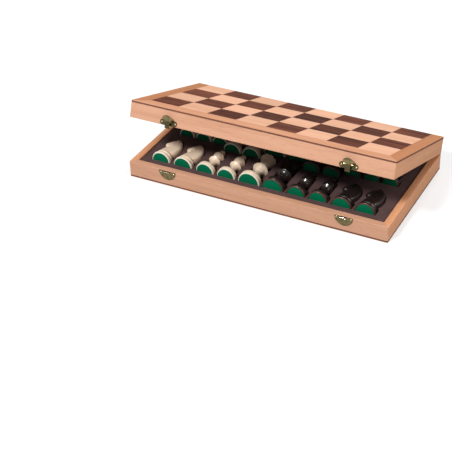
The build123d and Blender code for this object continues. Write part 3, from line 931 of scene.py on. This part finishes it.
MEN: dict[str, Chessman] = {
    "king": King(16.5, (
        (5.2, 34.0, -1.5), (6.4, 36.6, -0.3), (11.9, 39.8, -0.5), (11.9, 41.4, 0.5),
        (8.8, 44.8, -0.6), (9.3, 45.3), (9.3, 46.9, 0.3), (8.7, 47.4), (11.4, 62.2, -0.6),
        (11.9, 62.8), (11.9, 64.6, 0.3), (10.4, 65.6), (3.4, 70.8, 1.4), (2.6, 72.0), (0.0, 72.0),
    )),
    "queen": Queen(16.5, (
        (5.0, 30.4, -1.4), (5.8, 31.6), (11.2, 37.6, -1.0), (11.6, 38.0), (11.6, 38.9, 0.2),
        (7.6, 41.4, -0.5), (8.0, 42.3), (8.0, 43.6, 0.3), (7.4, 44.1), (12.0, 62.4, -1.7),
        (12.0, 65.2), (10.7, 65.8), (9.5, 64.6), (2.4, 66.4, 0.6), (0.0, 72.0, 3.9),
    )),
    "bishop": Bishop(14.0, (
        (4.4, 25.0, -1.2), (5.0, 26.4), (8.6, 30.6, -0.5), (8.9, 31.0), (8.9, 31.7, 0.2),
        (6.4, 33.2, -0.3), (7.3, 33.8), (7.5, 34.6, 0.2), (6.2, 35.6, 0.1), (6.4, 36.2),
        (8.1, 42.8, 0.6), (1.8, 54.0, 1.9), (0.0, 59.0, 3.5),
    )),
    "knight": Knight(14.5, ()),
    "rook": Chessman(14.0, (
        (6.6, 24.0, -0.8), (7.2, 27.4, -0.2), (10.6, 29.8, -0.3), (11.0, 30.6),
        (11.0, 45.4, -0.4), (10.4, 46.0, 0.2), (8.6, 46.0), (6.4, 40.0), (0.0, 40.0),
    )),
    "pawn": Chessman(12.5, (
        (4.6, 19.6, -0.5), (7.0, 21.0, -0.2), (7.0, 22.4, 0.4), (4.6, 24.6, -0.4),
        (4.4, 28.2), (0.0, 41.5, 9.75),
    )),
}


@dataclass
class ChessSet:
    """All the chessmen, each lying in its pocket with its felt."""

    men: dict[str, Chessman] = field(default_factory=lambda: MEN)

    def build(self) -> None:
        """Builds every chessman over its solid."""
        felt = FELT.material()
        for colour in Colour:
            wood = (LACQUERS[colour].material(), FOOT_EDGES[colour].material())
            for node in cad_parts:
                if node.startswith(colour.value + "_"):
                    man = self.men[node.split("_")[1]]
                    add_piece(f"{node}_carved", man.lay(man.shape(), node), wood, node,
                              f"{'pale' if colour is Colour.WHITE else 'dark'}_men", node)
                    add_piece(f"{node}_felt", man.lay(man.felt_disc(), node), (felt,), node,
                              "flock", node)


# Studio


@dataclass(frozen=True)
class Lamp:
    """One soft square lamp aimed at the box.

    Attributes:
        name: Name of the lamp.
        place: Position in metres.
        size: Side of the lamp in metres.
        power: Power in watts.
    """

    name: str
    place: tuple[float, float, float]
    size: float
    power: float
    aim: tuple[float, float, float] = (0.0, 0.0, 0.03)

    def build(self) -> None:
        """Adds the lamp to the scene."""
        data = bpy.data.lights.new(self.name, "AREA")
        data.size = self.size
        data.energy = self.power
        lamp = bpy.data.objects.new(self.name, data)
        lamp.location = self.place
        aim = Vector(self.aim) - Vector(self.place)
        lamp.rotation_euler = aim.to_track_quat("-Z", "Y").to_euler()
        bpy.context.scene.collection.objects.link(lamp)


@dataclass
class Studio:
    """Floor, light and camera.

    Attributes:
        eye: Camera position in metres.
        turn: Camera rotation as XYZ Euler angles in degrees.
        focal: Focal length in units of the picture's width.
        sensor: Width of the sensor in millimetres.
        fill: Strength of the surround away from the camera's own rays.
        floor_grey: How pale the floor is to the lamps.
        glow: What the camera alone adds on the floor, near the box.
        glow_rise: How much that grows towards white away from the box.
        glow_reach: Distances from the box between which it grows, in metres.
        lamps: The lamps.
    """

    eye: tuple[float, float, float] = (0.63496, -1.32332, 0.92518)
    turn: tuple[float, float, float] = (55.2487, 1.9463, 27.7106)
    focal: float = 1201.39 / 452.0
    sensor: float = 36.0
    fill: float = 0.24
    floor_grey: float = 0.5
    glow: float = 0.5
    glow_rise: float = 0.5
    glow_reach: tuple[float, float] = (0.45, 1.3)
    lamps: tuple[Lamp, ...] = (
        Lamp("key", (-0.45, -1.5, 1.8), 0.4, 44.0),
        Lamp("side", (1.7, -0.4, 1.3), 1.0, 13.0),
        Lamp("top", (0.2, 0.9, 2.1), 0.8, 22.0),
    )

    def build(self) -> None:
        """Builds the whole studio."""
        self.camera()
        self.floor()
        self.world()
        for lamp in self.lamps:
            lamp.build()
        bpy.context.scene.view_settings.view_transform = "Standard"

    def camera(self) -> None:
        """Sets the camera at the place and turn of the photograph."""
        data = bpy.data.cameras.new("camera")
        data.sensor_width = self.sensor
        data.lens = self.focal * self.sensor
        camera = bpy.data.objects.new("camera", data)
        camera.location = self.eye
        camera.rotation_euler = [math.radians(a) for a in self.turn]
        bpy.context.scene.collection.objects.link(camera)
        bpy.context.scene.camera = camera

    def floor(self) -> None:
        """Adds the pale floor, lighter where the camera sees it and white away from the box."""
        bm = bmesh.new()
        bmesh.ops.create_grid(bm, x_segments=1, y_segments=1, size=6.0)
        bmesh.ops.translate(bm, verts=bm.verts, vec=(0.0, 0.0, -0.0001))
        mesh = bpy.data.meshes.new("floor")
        bm.to_mesh(mesh)
        bm.free()
        g = Graph("floor")
        shader = g.node("ShaderNodeBsdfDiffuse")
        shader.inputs["Color"].default_value = (*(self.floor_grey,) * 3, 1.0)
        glow = g.node("ShaderNodeEmission")
        path = g.node("ShaderNodeLightPath")
        glow.inputs["Color"].default_value = (1.0, 1.0, 1.0, 1.0)
        reach = g.node("ShaderNodeVectorMath", operation="LENGTH")
        g.join(g.object_coords(), reach.inputs[0])
        far = g.ramp(reach.outputs["Value"], *self.glow_reach)
        far = g.math("MULTIPLY_ADD", far, self.glow_rise, self.glow)
        g.join(g.math("MULTIPLY", path.outputs["Is Camera Ray"], far), glow.inputs["Strength"])
        both = g.node("ShaderNodeAddShader")
        g.join(shader.outputs[0], both.inputs[0])
        g.join(glow.outputs[0], both.inputs[1])
        out = g.node("ShaderNodeOutputMaterial")
        g.join(both.outputs[0], out.inputs["Surface"])
        mesh.materials.append(g.material)
        floor = bpy.data.objects.new("floor", mesh)
        bpy.context.scene.collection.objects.link(floor)

    def world(self) -> None:
        """Adds a soft surround that the camera sees as white."""
        world = bpy.data.worlds.new("surround")
        world.use_nodes = True
        bpy.context.scene.world = world
        tree = world.node_tree
        tree.nodes.clear()
        sky = tree.nodes.new("ShaderNodeBackground")
        path = tree.nodes.new("ShaderNodeLightPath")
        level = tree.nodes.new("ShaderNodeMapRange")
        level.inputs["To Min"].default_value = self.fill
        level.inputs["To Max"].default_value = 1.0
        tree.links.new(path.outputs["Is Camera Ray"], level.inputs["Value"])
        tree.links.new(level.outputs[0], sky.inputs["Strength"])
        sky.inputs["Color"].default_value = (1.0, 1.0, 1.0, 1.0)
        out = tree.nodes.new("ShaderNodeOutputWorld")
        tree.links.new(sky.outputs[0], out.inputs["Surface"])


def main() -> None:
    """Builds every sub-assembly in order."""
    logging.basicConfig(level=logging.INFO, format="%(name)s: %(message)s")
    for half in Half:
        WoodenHalf(half).build()
    Hardware().build()
    Linings().build()
    ChessSet().build()
    Studio().build()


if __name__ == "__main__":
    main()
